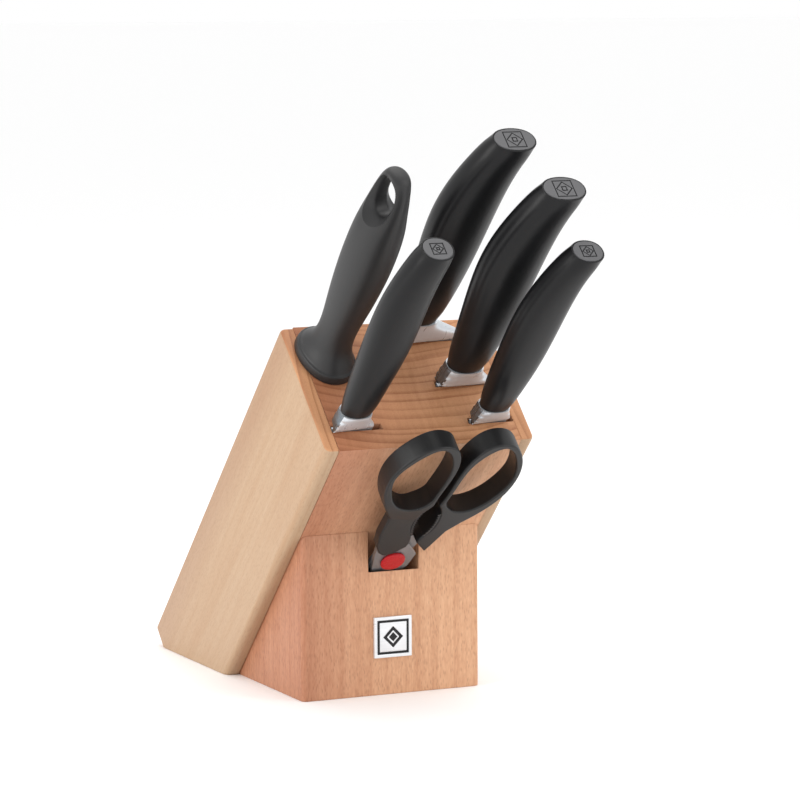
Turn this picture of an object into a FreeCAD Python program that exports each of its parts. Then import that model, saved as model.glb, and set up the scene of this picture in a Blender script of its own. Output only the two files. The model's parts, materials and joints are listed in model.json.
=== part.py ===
import FreeCAD, Part
import math
import os
from FreeCAD import Vector

# Leaning knife block with four knives, a honing steel and kitchen shears.
#
# Frame, in millimetres: +X to the right seen from the front, +Y to the back, +Z up. The origin is on the
# table, midway across the block, where the leaning front face meets the table.
#
# Most pieces are made upright and then leant forward together by lean(). Upright, x is the same as X,
# t runs through the block from its front face to its back face, and s runs up the grain from the foot.
# Heights h of knives, steel and shears are measured from the block's top face, so s = FACE_LENGTH + h.

# ---- Block ----
LEAN = 44.7                 # degrees that the block leans forward from upright
FACE_LENGTH = 178.4         # front face, from the table to the top edge
CORE_WIDTH = 94.6           # laminated core, between the side panels
SIDE_PANEL = 7.4            # thickness of each side panel
FRONT_BOARD = 15.0          # thicknesses of the core's boards, front to back
MIDDLE_BOARD = 23.4
REAR_BOARD = 28.2
BACK_BOARD = 9.2
HEEL_TRIM = 15.0            # sharp lower back corner cut off square, measured along the back
PANEL_EDGE_RADIUS = 3.4     # outer long edges of the side panels
PANEL_TOP_CHAMFER = 1.0     # outer top edges of the side panels

# ---- Front support wedge ----
SUPPORT_DEPTH = 79.9        # along the table
SUPPORT_EDGE_RADIUS = 2.6   # upright front edges
POCKET_LEFT = -12.2         # shears' pocket, milled into the leaning face of the wedge
POCKET_RIGHT = 14.4
POCKET_DEPTH = 14.0
DOWEL_DIAMETER = 8.0
DOWEL_IN_BOARD = 9.0
DOWEL_IN_SUPPORT = 17.0
DOWEL_ACROSS = 32.0         # each side of the middle
DOWEL_UP = 45.0             # up the front face

# ---- Badge ----
BADGE_SIDE = 20.0
BADGE_THICKNESS = 1.5
BADGE_HEIGHT = 28.4         # centre above the table
INLAY_DEPTH = 0.4
INLAY_FRAME_OUTER = 16.6
INLAY_FRAME_WIDTH = 1.1
DIAMOND_OUTER = 10.4        # tip to tip
DIAMOND_LINE = 1.3
DIAMOND_CORE = 4.4

# ---- Slots and blades ----
SLOT_WIDTH = 3.7
BLADE_THICKNESS = 2.4
BLADE_EDGE = 0.5
BLADE_IN_BOLSTER = 3.0      # how far the blade's plate runs up into the bolster it is forged with
BOLSTER_PROUD = 0.3         # bolster's foot past the blade's spine and edge
SLOT_SPINE_MARGIN = 1.3     # slot past the blade's spine
SEAT_GAP = 0.05             # bolsters and guard above the top face, so that nothing binds
TANG_THICKNESS = 3.0
TANG_DEPTH = 60.0
CAP_RIM = 0.9               # handle plastic left around an end cap
CAP_THICKNESS = 1.6
CAP_PROUD = 0.15

# A grip station is (height above the top face, centre offset, half width, half thickness).
# The centre offset is measured from the knife's own centre line, positive towards the edge of the blade.
SMALL_GRIP = [
    (20.0, 0.0, 8.7, 6.3),
    (40.0, 0.5, 10.6, 7.5),
    (60.0, 0.6, 11.5, 8.0),
    (80.0, 0.9, 11.4, 8.0),
    (98.0, 2.9, 10.0, 7.7),
    (110.0, 5.7, 8.9, 7.4),
]
STRAIGHT_SMALL_GRIP = [
    (22.0, 0.0, 8.6, 6.4),
    (42.0, 0.2, 10.0, 7.5),
    (62.0, 0.4, 11.3, 8.0),
    (84.0, 0.0, 11.3, 8.0),
    (104.0, 0.9, 10.0, 7.7),
    (116.0, 2.6, 9.0, 7.5),
]
LARGE_GRIP = [
    (24.0, 0.0, 10.8, 7.2),
    (44.0, -0.3, 12.8, 8.3),
    (64.0, -1.1, 14.3, 9.0),
    (84.0, -1.7, 15.1, 9.2),
    (104.0, -0.6, 14.2, 9.0),
    (119.0, 2.0, 12.7, 8.5),
    (129.0, 4.9, 11.7, 8.1),
]

KNIVES = {
    "paring_knife": {
        "plane": FRONT_BOARD - SLOT_WIDTH / 2,
        "centre": -38.9, "spine": -47.0, "edge": -26.0, "slot_margin": 4.6,
        "blade_length": 80.0, "tip_drop": 0.25,
        "bolster_top": 13.2, "bolster_half": 8.0, "base_thick": 2.8, "top_thick": 5.4,
        "stations": STRAIGHT_SMALL_GRIP, "lift": 0.0,
        "end": (125.8, 4.6, 8.1, 7.3),
    },
    "utility_knife": {
        "plane": FRONT_BOARD - SLOT_WIDTH / 2,
        "centre": 33.6, "spine": 24.8, "edge": 44.4, "slot_margin": 2.8,
        "blade_length": 130.0, "tip_drop": 0.3,
        "bolster_top": 11.6, "bolster_half": 8.0, "base_thick": 3.0, "top_thick": 5.3,
        "stations": SMALL_GRIP, "lift": 0.0,
        "end": (120.2, 9.4, 8.3, 7.1),
    },
    "carving_knife": {
        "plane": FRONT_BOARD + MIDDLE_BOARD - SLOT_WIDTH / 2,
        "centre": 25.4, "spine": 15.4, "edge": 43.0, "slot_margin": 3.0,
        "blade_length": 195.0, "tip_drop": 0.3,
        "bolster_top": 14.0, "bolster_half": 9.5, "base_thick": 4.0, "top_thick": 6.1,
        "stations": LARGE_GRIP, "lift": 0.0,
        "end": (137.0, 8.0, 11.3, 7.7),
    },
    "chef_knife": {
        "plane": FRONT_BOARD + MIDDLE_BOARD + REAR_BOARD - SLOT_WIDTH / 2,
        "centre": 9.4, "spine": -1.4, "edge": 42.6, "slot_margin": 2.4,
        "blade_length": 200.0, "tip_drop": 0.35,
        "bolster_top": 17.0, "bolster_half": 9.7, "base_thick": 4.0, "top_thick": 6.2,
        "stations": LARGE_GRIP, "lift": 2.8,
        "end": (139.9, 8.0, 11.2, 7.6),
    },
}

# ---- Honing steel ----
STEEL_X = -37.4
STEEL_T = 56.0
STEEL_ROD_DIAMETER = 10.0
STEEL_ROD_LENGTH = 205.0
STEEL_BORE_CLEARANCE = 1.1  # radial, so that the steel drops in freely
STEEL_BORE_EXTRA = 6.0      # bore below the rod's tip
STEEL_TANG_DIAMETER = 6.0
STEEL_TANG_DEPTH = 75.0
STEEL_TURN = 15.0           # degrees that the hanging eye is turned about the rod
GUARD_THICK = (13.4, 13.0)  # half size through the eye's direction, at the foot and top of the skirt
GUARD_WIDE = (17.4, 16.8)
GUARD_SKIRT = 5.0
# (height above the top face, sideways offset, half thickness along the eye, half width across it)
STEEL_GRIP = [
    (9.5, 0.1, 10.0, 12.4),
    (16.0, 0.3, 8.5, 9.6),
    (26.0, 0.4, 8.6, 9.2),
    (45.0, 0.5, 11.0, 11.2),
    (68.0, 0.1, 12.4, 12.5),
    (90.0, -0.8, 11.9, 12.2),
    (106.0, -1.6, 9.8, 11.2),
    (118.0, -2.2, 8.0, 9.8),
    (126.5, -2.8, 6.2, 7.4),
    (130.5, -3.0, 3.8, 4.2),
]
EYE_CENTRE = 114.5
EYE_LENGTH = 23.0
EYE_WIDTH = 11.0

# ---- Shears ----
# Own frame: u to the right and v up along the shears, from the pivot; the row's t is kept.
SHEARS_X = -1.4
SHEARS_H = -72.2            # pivot below the top face
SHEARS_TILT = 8.5           # degrees that the handles lean to the right
SHEARS_FRONT = -13.0        # t of the front blade's outer face
SHEARS_STOCK = 2.6          # thickness of each blade
SHEARS_BLADE_GAP = 0.06
SHEARS_BLADE_LENGTH = 65.0  # pivot to tip
SHEARS_HANDLE_FRONT = -16.2
SHEARS_HANDLE_BACK = -4.8
ARM_FRONT = -14.8           # t of the left arm's front, set back from its loop
ARM_COVER = 1.2             # handle plastic behind the front blade's root
ARM_SWING = 11.0            # radius about the pivot inside which the left arm has no plastic behind its blade
ARM_STEP_LOW = 33.0         # v between which the left arm thickens into its loop
ARM_STEP_HIGH = 43.0
LOOP_WALL = 2.7
LOOP_REACH = {-1: 34.5, 1: 34.0}    # outer edge of the left and the right loop, from the line between them
LOOP_TOP = {-1: 89.2, 1: 92.6}
LOOP_MIDDLE = 0.8           # u of the line between the two handles
HANDLE_GAP = 3.0            # between the two handles where the grips face each other
PIVOT_DIAMETER = 6.0
PIVOT_CLEARANCE = 0.05      # radial, in the blade that turns
SCREW_HEAD_DIAMETER = 9.4
SCREW_HEAD_HEIGHT = 0.8
CAP_DIAMETER = 12.3
CAP_HEIGHT = 1.7
NUT_DIAMETER = 11.0
NUT_HEIGHT = 2.0
WASHER_HEIGHT = 0.6
WASHER_DIAMETER = 12.4

# ---- Derived sizes ----
BLOCK_DEPTH = FRONT_BOARD + MIDDLE_BOARD + REAR_BOARD + BACK_BOARD
HALF_CORE = CORE_WIDTH / 2
SLOPE = math.tan(math.radians(LEAN))
HEEL_S = -BLOCK_DEPTH * SLOPE + HEEL_TRIM
BEYOND = 40.0               # how far cutting tools run past what they cut


# ---- Shape helpers ----
def lean(shape):
    """Lean an upright shape forward about the foot of the front face."""
    shape.rotate(Vector(0, 0, 0), Vector(1, 0, 0), LEAN)
    return shape


def save(name, shape):
    """Write one sub-part as its own STEP file."""
    if not shape.isValid():
        raise ValueError(name + " is not a valid shape")
    shape.exportStep("parts/" + name + ".step")
    print(f"{name}: {len(shape.Solids)} solid(s), {shape.Volume / 1000:.2f} cm3")


def box(x_low, x_high, t_low, t_high, s_low, s_high):
    return Part.makeBox(x_high - x_low, t_high - t_low, s_high - s_low, Vector(x_low, t_low, s_low))


def across(points, x_low, x_high):
    """A prism along x over a (t, s) outline."""
    wire = Part.makePolygon([Vector(x_low, t, s) for t, s in points + points[:1]])
    return Part.Face(wire).extrude(Vector(x_high - x_low, 0, 0))


def through(edges, t_low, t_high):
    """A prism along t over a closed wire of edges that lie in the plane t = 0."""
    face = Part.Face(Part.Wire(edges))
    face.translate(Vector(0, t_low, 0))
    return face.extrude(Vector(0, t_high - t_low, 0))


def polyline(points):
    """Straight edges through (x, s) points in the plane t = 0."""
    spots = [Vector(x, 0, s) for x, s in points]
    return [Part.makeLine(a, b) for a, b in zip(spots, spots[1:])]


def spline(points, closed=False):
    """One smooth edge through (x, s) points in the plane t = 0."""
    curve = Part.BSplineCurve()
    curve.interpolate(Points=[Vector(x, 0, s) for x, s in points], PeriodicFlag=closed)
    return curve.toShape()


def rod(radius, base, direction, length):
    return Part.makeCylinder(radius, length, base, direction)


def oval(centre_x, centre_t, s, half_x, half_t, power=2.0, taper=0.0, count=28):
    """A closed smooth oval in the plane s; a power above 2 squares it, a taper thins its +x side."""
    points = []
    for i in range(count):
        angle = 2 * math.pi * i / count
        c = math.cos(angle)
        d = math.sin(angle)
        across_x = math.copysign(abs(c) ** (2 / power), c)
        across_t = math.copysign(abs(d) ** (2 / power), d) * (1 - taper * across_x)
        points.append(Vector(centre_x + half_x * across_x, centre_t + half_t * across_t, s))
    curve = Part.BSplineCurve()
    curve.interpolate(Points=points, PeriodicFlag=True)
    return Part.Wire([curve.toShape()])


def smooth_loft(sections):
    return Part.makeLoft(sections, True, False)


# ---- Block ----
def block_outline(t_low, t_high):
    """The block's side outline between two depths: sloping foot, square heel and square top."""
    heel_t = -HEEL_S / SLOPE
    foot = [(t_low, max(-t_low * SLOPE, HEEL_S))]
    if t_low < heel_t < t_high:
        foot.append((heel_t, HEEL_S))
    foot.append((t_high, max(-t_high * SLOPE, HEEL_S)))
    return foot + [(t_high, FACE_LENGTH), (t_low, FACE_LENGTH)]


def knife_slot(knife):
    """The slot that a knife's blade drops into, open at both ends."""
    t_high = knife["plane"] + SLOT_WIDTH / 2
    return box(
        knife["spine"] - SLOT_SPINE_MARGIN, knife["edge"] + knife["slot_margin"],
        t_high - SLOT_WIDTH, t_high,
        HEEL_S - BEYOND, FACE_LENGTH + BEYOND,
    )


def dowel(radius, in_support, in_board, x):
    return rod(radius, Vector(x, -in_support, DOWEL_UP), Vector(0, 1, 0), in_support + in_board)


def dowels(radius=DOWEL_DIAMETER / 2, extra=0.0):
    return [
        dowel(radius, DOWEL_IN_SUPPORT + extra, DOWEL_IN_BOARD + extra, side * DOWEL_ACROSS)
        for side in (-1, 1)
    ]


def steel_bore():
    depth = STEEL_ROD_LENGTH + STEEL_BORE_EXTRA
    radius = STEEL_ROD_DIAMETER / 2 + STEEL_BORE_CLEARANCE
    return rod(radius, Vector(STEEL_X, STEEL_T, FACE_LENGTH - depth), Vector(0, 0, 1), depth + BEYOND)


def core_board(t_low, thickness, cuts):
    board = across(block_outline(t_low, t_low + thickness), -HALF_CORE, HALF_CORE)
    for tool in cuts:
        board = board.cut(tool)
    return board


def side_panel(side):
    """An outer panel over the block's whole side, its outer edges eased."""
    inner = side * HALF_CORE
    outer = side * (HALF_CORE + SIDE_PANEL)
    panel = across(block_outline(0, BLOCK_DEPTH), min(inner, outer), max(inner, outer))
    long_edges = []
    for edge in panel.Edges:
        middle = edge.CenterOfMass
        upright = abs(edge.tangentAt(edge.FirstParameter).z) > 0.99
        on_face = abs(middle.y) < 0.01 or abs(middle.y - BLOCK_DEPTH) < 0.01
        if upright and on_face and abs(middle.x - outer) < 0.01:
            long_edges.append(edge)
    panel = panel.makeFillet(PANEL_EDGE_RADIUS, long_edges)
    top_edges = []
    for edge in panel.Edges:
        middle = edge.CenterOfMass
        if abs(middle.z - FACE_LENGTH) < 0.01 and abs(middle.x - inner) > 0.01 and edge.Length > 3:
            if abs(middle.x - (inner + outer) / 2) > 0.2 * SIDE_PANEL:
                top_edges.append(edge)
    return panel.makeChamfer(PANEL_TOP_CHAMFER, top_edges)


def shears_pocket():
    return box(
        POCKET_LEFT, POCKET_RIGHT, -POCKET_DEPTH, BEYOND,
        -POCKET_DEPTH * 2, FACE_LENGTH + BEYOND,
    )


def front_support():
    """The wedge under the lean, made in the row frame, with pocket and dowel holes."""
    top = SUPPORT_DEPTH / SLOPE
    outline = [(0, 0), (-SUPPORT_DEPTH, 0), (-SUPPORT_DEPTH, top)]
    wedge = across(outline, -HALF_CORE, HALF_CORE)
    edges = []
    for edge in wedge.Edges:
        middle = edge.CenterOfMass
        if abs(middle.y + SUPPORT_DEPTH) < 0.01 and abs(edge.tangentAt(edge.FirstParameter).z) > 0.99:
            edges.append(edge)
    wedge = wedge.makeFillet(SUPPORT_EDGE_RADIUS, edges)
    for tool in [shears_pocket()] + dowels():
        wedge = wedge.cut(lean(tool))
    return wedge


def build_block():
    depth = 0.0
    slots = {name: knife_slot(knife) for name, knife in KNIVES.items()}
    boards = [
        ("core_board_front", FRONT_BOARD, [slots["paring_knife"], slots["utility_knife"]] + dowels()),
        ("core_board_middle", MIDDLE_BOARD, [slots["carving_knife"]]),
        ("core_board_rear", REAR_BOARD, [slots["chef_knife"], steel_bore()]),
        ("core_board_back", BACK_BOARD, []),
    ]
    for name, thickness, cuts in boards:
        save(name, lean(core_board(depth, thickness, cuts)))
        depth += thickness
    save("side_panel_left", lean(side_panel(-1)))
    save("side_panel_right", lean(side_panel(1)))
    save("front_support", front_support())
    save("support_dowels", lean(Part.makeCompound(dowels())))


# ---- Badge, made in the row frame on the wedge's upright front ----
def square_ring(outer, inner, turned, y, depth):
    """A square ring lying in an upright plane, its corners up and sideways when turned."""
    solids = []
    for side in (outer, inner):
        if side <= 0:
            continue
        half = side / 2
        block = Part.makeBox(side, depth, side, Vector(-half, y, -half))
        if turned:
            block.rotate(Vector(0, 0, 0), Vector(0, 1, 0), 45)
        solids.append(block)
    ring = solids[0].cut(solids[1]) if len(solids) == 2 else solids[0]
    ring.translate(Vector(0, 0, BADGE_HEIGHT))
    return ring


def build_badge():
    front = -SUPPORT_DEPTH - BADGE_THICKNESS
    half = BADGE_SIDE / 2
    plate = Part.makeBox(
        BADGE_SIDE, BADGE_THICKNESS, BADGE_SIDE, Vector(-half, front, BADGE_HEIGHT - half)
    )
    diagonal = math.sqrt(2)
    inlays = [
        square_ring(INLAY_FRAME_OUTER, INLAY_FRAME_OUTER - 2 * INLAY_FRAME_WIDTH, False, front, INLAY_DEPTH),
        square_ring(
            DIAMOND_OUTER / diagonal, DIAMOND_OUTER / diagonal - 2 * DIAMOND_LINE, True, front, INLAY_DEPTH
        ),
        square_ring(DIAMOND_CORE / diagonal, 0, True, front, INLAY_DEPTH),
    ]
    for inlay in inlays:
        plate = plate.cut(inlay)
    save("badge_plate", plate)
    save("badge_inlay", Part.makeCompound(inlays))


# ---- Knives ----
def bolster_sections(knife):
    """Sections from the thin foot on the top face to the full grip, wider towards the edge at the foot."""
    top = knife["bolster_top"]
    sections = []
    top_low = knife["centre"] - knife["bolster_half"]
    top_high = knife["centre"] + knife["bolster_half"]
    foot_low = knife["spine"] - BOLSTER_PROUD
    foot_high = knife["edge"] + BOLSTER_PROUD
    for share, flare, swell in ((0.0, 1.0, 0.0), (0.25, 0.86, 0.3), (0.55, 0.34, 0.66), (1.0, 0.0, 1.0)):
        low = foot_low + (top_low - foot_low) * share
        high = top_high + (foot_high - top_high) * flare
        thick = knife["base_thick"] + (knife["top_thick"] - knife["base_thick"]) * swell
        sections.append(oval(
            (low + high) / 2, knife["plane"], FACE_LENGTH + SEAT_GAP + (top - SEAT_GAP) * share,
            (high - low) / 2, thick, power=2.2 + 0.4 * share, taper=0.3 * (1 - share),
        ))
    return sections


def grip_sections(knife):
    """Sections of the handle from the bolster to its flat end."""
    sections = [bolster_sections(knife)[-1]]
    for height, offset, half_width, half_thick in knife["stations"]:
        sections.append(oval(
            knife["centre"] + offset, knife["plane"], FACE_LENGTH + height + knife["lift"],
            half_width, half_thick, power=2.5,
        ))
    height, offset, half_width, half_thick = knife["end"]
    sections.append(oval(
        knife["centre"] + offset, knife["plane"], FACE_LENGTH + height, half_width, half_thick, power=2.1,
    ))
    return sections


def tang(knife):
    low = FACE_LENGTH + knife["bolster_top"] - 2
    return box(
        knife["centre"] - 0.55 * knife["bolster_half"], knife["centre"] + 0.55 * knife["bolster_half"],
        knife["plane"] - TANG_THICKNESS / 2, knife["plane"] + TANG_THICKNESS / 2,
        low, low + TANG_DEPTH,
    )


def blade_plate(knife):
    """The blade below the top face: straight spine dropping to the tip, and a bellied edge."""
    spine = knife["spine"]
    edge = knife["edge"]
    length = knife["blade_length"]
    tip_x = spine + knife["tip_drop"] * (edge - spine)
    top = FACE_LENGTH + BLADE_IN_BOLSTER
    bend = 0.6
    spine_edge = spline([
        (spine, FACE_LENGTH - bend * length),
        (spine + 0.3 * (tip_x - spine), FACE_LENGTH - 0.85 * length),
        (tip_x, FACE_LENGTH - length),
    ])
    belly = spline([
        (tip_x + (edge - tip_x) * (1 - share ** 4), FACE_LENGTH - share * length)
        for share in (1.0, 0.93, 0.8, 0.6, 0.3, 0.0)
    ])
    sides = polyline([(edge, FACE_LENGTH), (edge, top), (spine, top), (spine, FACE_LENGTH - bend * length)])
    half = BLADE_THICKNESS / 2
    plate = through(sides + [spine_edge, belly], knife["plane"] - half, knife["plane"] + half)
    corners = [
        (spine - 1, -half), (edge + 1, -BLADE_EDGE / 2), (edge + 1, BLADE_EDGE / 2), (spine - 1, half),
    ]
    wire = Part.makePolygon([
        Vector(x, knife["plane"] + t, FACE_LENGTH - 2 * length) for x, t in corners + corners[:1]
    ])
    wedge = Part.Face(wire).extrude(Vector(0, 0, 4 * length))
    return plate.common(wedge)


def end_cap(knife, rim, proud):
    height, offset, half_width, half_thick = knife["end"]
    x = knife["centre"] + offset
    top = FACE_LENGTH + height
    return smooth_loft([
        oval(x, knife["plane"], s, half_width - rim, half_thick - rim, power=2.1)
        for s in (top - CAP_THICKNESS, top + proud)
    ])


def build_knives():
    for name, knife in KNIVES.items():
        core = tang(knife)
        bolster = smooth_loft(bolster_sections(knife))
        blade = bolster.fuse([blade_plate(knife), core])
        cap = end_cap(knife, CAP_RIM, CAP_PROUD)
        handle = smooth_loft(grip_sections(knife)).cut(core).cut(end_cap(knife, CAP_RIM, 5.0))
        save(name + "_blade", lean(blade))
        save(name + "_handle", lean(handle))
        save(name + "_end_cap", lean(cap))


# ---- Honing steel ----
def place_steel(shape):
    """Turn a steel piece about its rod and stand it in its bore."""
    shape.rotate(Vector(0, 0, 0), Vector(0, 0, 1), STEEL_TURN)
    shape.translate(Vector(STEEL_X, STEEL_T, FACE_LENGTH))
    return shape


def build_steel():
    tang_rod = rod(STEEL_TANG_DIAMETER / 2, Vector(0, 0, SEAT_GAP), Vector(0, 0, 1), STEEL_TANG_DEPTH)
    radius = STEEL_ROD_DIAMETER / 2
    tip = radius * 0.8
    shaft = rod(radius, Vector(0, 0, SEAT_GAP), Vector(0, 0, -1), STEEL_ROD_LENGTH - tip)
    point = Part.makeCone(
        radius * 0.35, radius, tip, Vector(0, 0, SEAT_GAP - STEEL_ROD_LENGTH), Vector(0, 0, 1)
    )
    sections = [
        oval(0, 0, SEAT_GAP, GUARD_THICK[0], GUARD_WIDE[0]),
        oval(0, 0, GUARD_SKIRT, GUARD_THICK[1], GUARD_WIDE[1]),
    ]
    skirt = Part.makeLoft(sections, True, True)
    dome = smooth_loft([oval(0, 0, GUARD_SKIRT, GUARD_THICK[1], GUARD_WIDE[1])] + [
        oval(offset, 0, height, thick, wide) for height, offset, thick, wide in STEEL_GRIP
    ])
    straight = (EYE_LENGTH - EYE_WIDTH) / 2
    eye_x = STEEL_GRIP[-4][1]
    eye = box(-BEYOND, BEYOND, -EYE_WIDTH / 2, EYE_WIDTH / 2, EYE_CENTRE - straight, EYE_CENTRE + straight)
    for s in (EYE_CENTRE - straight, EYE_CENTRE + straight):
        eye = eye.fuse(rod(EYE_WIDTH / 2, Vector(-BEYOND, 0, s), Vector(1, 0, 0), 2 * BEYOND))
    eye.translate(Vector(eye_x, 0, 0))
    handle = skirt.fuse(dome).cut(eye).cut(tang_rod)
    save("steel_rod", lean(place_steel(shaft.fuse([point, tang_rod]))))
    save("steel_handle", lean(place_steel(handle)))


# ---- Shears ----
def place_shears(shape):
    """Tilt a shears piece about its pivot and hang it in its pocket."""
    shape.rotate(Vector(0, 0, 0), Vector(0, 1, 0), SHEARS_TILT)
    shape.translate(Vector(SHEARS_X, 0, FACE_LENGTH + SHEARS_H))
    return lean(shape)


def handle_outline(side):
    """The outer outline of one shears handle, loop and arm; side is -1 for the left and 1 for the right."""
    grip = LOOP_MIDDLE + side * HANDLE_GAP / 2
    outer = LOOP_MIDDLE + side * LOOP_REACH[side]
    reach = side * (LOOP_REACH[side] - HANDLE_GAP / 2)
    top = LOOP_TOP[side]
    loop = [
        (grip, 46.0),
        (grip, 66.0),
        (grip + 0.06 * reach, top - 10.0),
        (grip + 0.24 * reach, top - 1.6),
        (grip + 0.5 * reach, top),
        (grip + 0.82 * reach, top - 8.0),
        (outer, top - 26.0),
        (grip + 0.95 * reach, 54.0),
        (grip + 0.76 * reach, 42.0),
        (grip + 0.56 * reach, 34.0),
    ]
    return loop


def loop_hole(side):
    """The finger hole inside one handle's loop."""
    low = LOOP_MIDDLE + side * (HANDLE_GAP / 2 + LOOP_WALL)
    reach = side * (LOOP_REACH[side] - HANDLE_GAP / 2 - 2 * LOOP_WALL)
    top = LOOP_TOP[side]
    points = [
        (low, 50.0),
        (low, 66.0),
        (low + 0.10 * reach, top - 12.0),
        (low + 0.45 * reach, top - LOOP_WALL),
        (low + 0.82 * reach, top - 11.5),
        (low + reach, top - 26.0),
        (low + 0.90 * reach, 54.5),
        (low + 0.62 * reach, 44.5),
        (low + 0.26 * reach, 42.5),
    ]
    return through([spline(points, closed=True)], SHEARS_HANDLE_FRONT - 1, SHEARS_HANDLE_BACK + 1)


def slim_arm(handle, blade_back):
    """Thin a handle's arm on both faces, and clear its back around the pivot so that it can turn."""
    back = blade_back + ARM_COVER
    behind = [
        (back, -BEYOND), (back, ARM_STEP_LOW), (SHEARS_HANDLE_BACK, ARM_STEP_HIGH),
        (SHEARS_HANDLE_BACK + 1, ARM_STEP_HIGH), (SHEARS_HANDLE_BACK + 1, -BEYOND),
    ]
    ahead = [
        (ARM_FRONT, -BEYOND), (ARM_FRONT, ARM_STEP_LOW), (SHEARS_HANDLE_FRONT, ARM_STEP_HIGH),
        (SHEARS_HANDLE_FRONT - 1, ARM_STEP_HIGH), (SHEARS_HANDLE_FRONT - 1, -BEYOND),
    ]
    swing = rod(ARM_SWING, Vector(0, blade_back, 0), Vector(0, 1, 0), BEYOND)
    for tool in [across(outline, -BEYOND, BEYOND) for outline in (behind, ahead)] + [swing]:
        handle = handle.cut(tool)
    return handle


def shears_handle(side, arm, jaw, metal):
    """One handle: loop, arm and jaw side, moulded around its blade's root."""
    loop = handle_outline(side)
    edges = [spline(loop)] + polyline([loop[-1]] + arm) + [spline([arm[-1]] + jaw + [loop[0]])]
    solid = through(edges, SHEARS_HANDLE_FRONT, SHEARS_HANDLE_BACK)
    return solid.cut(loop_hole(side)).cut(metal)


def shears_blade(side, t_low, root, hole_radius):
    """One blade: pivot boss, root up into its handle, and a blade that crosses to the other side."""
    cross = -side
    spine = [(cross * 9.0, -7.0), (cross * 6.0, -30.0), (cross * 3.0, -50.0), (cross * 0.4, -SHEARS_BLADE_LENGTH)]
    cutting = [(-cross * 0.8, -SHEARS_BLADE_LENGTH), (-cross * 1.0, -14.0)]
    outline = polyline(spine + cutting + root + spine[:1])
    plate = through(outline, t_low, t_low + SHEARS_STOCK)
    hole = rod(hole_radius, Vector(0, t_low - 1, 0), Vector(0, 1, 0), SHEARS_STOCK + 2)
    return plate.cut(hole)


def build_shears():
    radius = PIVOT_DIAMETER / 2
    front_back = SHEARS_FRONT + SHEARS_STOCK
    rear_front = front_back + SHEARS_BLADE_GAP
    rear_back = rear_front + SHEARS_STOCK
    front_root = [
        (-7.6, -9.5), (-9.6, -3.0), (-11.4, 3.0), (-14.0, 14.0), (-15.0, 34.0), (-11.0, 38.0), (-7.0, 34.0),
        (-4.6, 18.0), (1.0, 14.5), (3.6, 12.5), (10.7, 5.4), (10.4, -4.0),
    ]
    rear_root = [
        (7.6, -9.5), (8.6, 0.0), (9.6, 9.0), (13.0, 24.0), (16.0, 34.0), (12.0, 38.0), (9.5, 32.0),
        (5.0, 18.0), (-1.2, 8.4), (-6.4, 5.6), (-8.6, 0.0),
    ]
    front_blade = shears_blade(-1, SHEARS_FRONT, front_root, radius + PIVOT_CLEARANCE)
    rear_blade = shears_blade(1, rear_front, rear_root, radius)
    left_arm = [(-17.6, 20.0), (-15.5, 12.0), (-11.8, 6.8), (-8.4, 5.0), (-3.7, 7.2), (1.0, 12.6)]
    left_jaw = [(-0.4, 20.8), (-3.4, 27.0), (-4.4, 34.0), (-3.2, 41.0)]
    right_arm = [(15.6, 27.0), (12.5, 15.6), (11.2, 11.2), (4.0, 17.3)]
    right_jaw = [(4.6, 22.4), (6.9, 28.0), (7.2, 35.0), (5.2, 42.0)]
    left_handle = slim_arm(shears_handle(-1, left_arm, left_jaw, front_blade), front_back)
    right_handle = shears_handle(1, right_arm, right_jaw, rear_blade)

    axis = Vector(0, 1, 0)
    washer_back = rear_back + WASHER_HEIGHT
    nut_back = washer_back + NUT_HEIGHT
    head_back = SHEARS_FRONT - 0.05
    head = rod(SCREW_HEAD_DIAMETER / 2, Vector(0, head_back - SCREW_HEAD_HEIGHT, 0), axis, SCREW_HEAD_HEIGHT)
    screw = head.fuse(rod(radius, Vector(0, head_back, 0), axis, nut_back - head_back))
    washer = rod(WASHER_DIAMETER / 2, Vector(0, rear_back, 0), axis, WASHER_HEIGHT)
    nut = rod(NUT_DIAMETER / 2, Vector(0, washer_back, 0), axis, NUT_HEIGHT)
    cap = rod(CAP_DIAMETER / 2, Vector(0, head_back - CAP_HEIGHT, 0), axis, CAP_HEIGHT)
    save("shears_front_blade", place_shears(front_blade))
    save("shears_rear_blade", place_shears(rear_blade))
    save("shears_front_handle", place_shears(left_handle))
    save("shears_rear_handle", place_shears(right_handle))
    save("shears_pivot_screw", place_shears(screw.copy()))
    save("shears_washer", place_shears(washer.cut(screw)))
    save("shears_nut", place_shears(nut.cut(screw)))
    save("shears_screw_cap", place_shears(cap.cut(head)))


os.makedirs("parts", exist_ok=True)
build_block()
build_badge()
build_knives()
build_steel()
build_shears()
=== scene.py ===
# %% [markdown]
# A leaning knife block with four knives, a honing steel and kitchen shears
#
# The block, its four knives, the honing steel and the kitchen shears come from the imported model, where every
# piece already has its true size and its joint. Here each piece gets the shape that the eye sees: soft edges,
# moulded plastic, ground steel and beech grain. Sizes are in metres, +X is right, +Y is back and +Z is up.

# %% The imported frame
import json
import math

import bpy
import numpy as np
from mathutils import Matrix, Vector


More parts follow.
